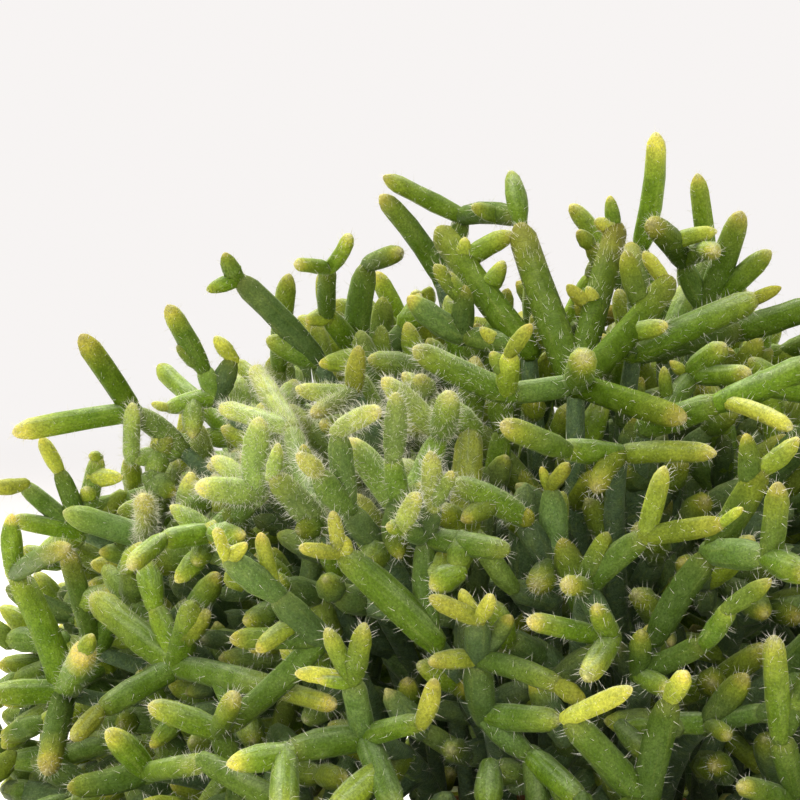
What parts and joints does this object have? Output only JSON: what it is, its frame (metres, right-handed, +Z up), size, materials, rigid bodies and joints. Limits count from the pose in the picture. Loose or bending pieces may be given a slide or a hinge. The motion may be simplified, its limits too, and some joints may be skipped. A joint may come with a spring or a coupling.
{
  "type": "mistletoe cactus in a pot",
  "caption": "Bushy mistletoe cactus whose soft round jointed stems form a dome above a plain tapered clay pot filled with soil.",
  "frame": {"origin": "centre of the pot's flat foot, on the ground", "axes": "+Z up along the pot's axis; -Y towards the plant's fullest side; +X to its right seen from there"},
  "size_m": [0.266, 0.2719, 0.2914],
  "materials": {
    "clay": "matt, unglazed",
    "earth": "matt, crumbly",
    "stem_green": "waxy satin skin"
  },
  "bodies": {
    "root": {"pot": "clay", "soil": "earth", "spray_01": "stem_green", "spray_02": "stem_green", "spray_03": "stem_green", "spray_04": "stem_green", "spray_05": "stem_green", "spray_06": "stem_green", "spray_07": "stem_green", "spray_08": "stem_green", "spray_09": "stem_green", "spray_10": "stem_green", "spray_11": "stem_green", "spray_12": "stem_green", "spray_13": "stem_green", "spray_14": "stem_green", "spray_15": "stem_green", "spray_16": "stem_green", "spray_17": "stem_green", "spray_18": "stem_green", "spray_19": "stem_green", "spray_20": "stem_green", "spray_21": "stem_green", "spray_22": "stem_green", "spray_23": "stem_green", "spray_24": "stem_green", "spray_25": "stem_green", "spray_26": "stem_green", "spray_27": "stem_green", "spray_28": "stem_green", "spray_29": "stem_green", "spray_30": "stem_green", "spray_31": "stem_green", "spray_32": "stem_green", "spray_33": "stem_green", "spray_34": "stem_green", "spray_35": "stem_green", "spray_36": "stem_green", "spray_37": "stem_green", "spray_38": "stem_green", "spray_39": "stem_green", "spray_40": "stem_green", "spray_41": "stem_green", "spray_42": "stem_green", "spray_43": "stem_green", "spray_44": "stem_green", "spray_45": "stem_green", "spray_46": "stem_green", "spray_47": "stem_green", "spray_48": "stem_green", "spray_49": "stem_green", "spray_50": "stem_green", "spray_51": "stem_green", "spray_52": "stem_green", "spray_53": "stem_green", "spray_54": "stem_green", "spray_55": "stem_green", "spray_56": "stem_green"}
  },
  "joints": []
}
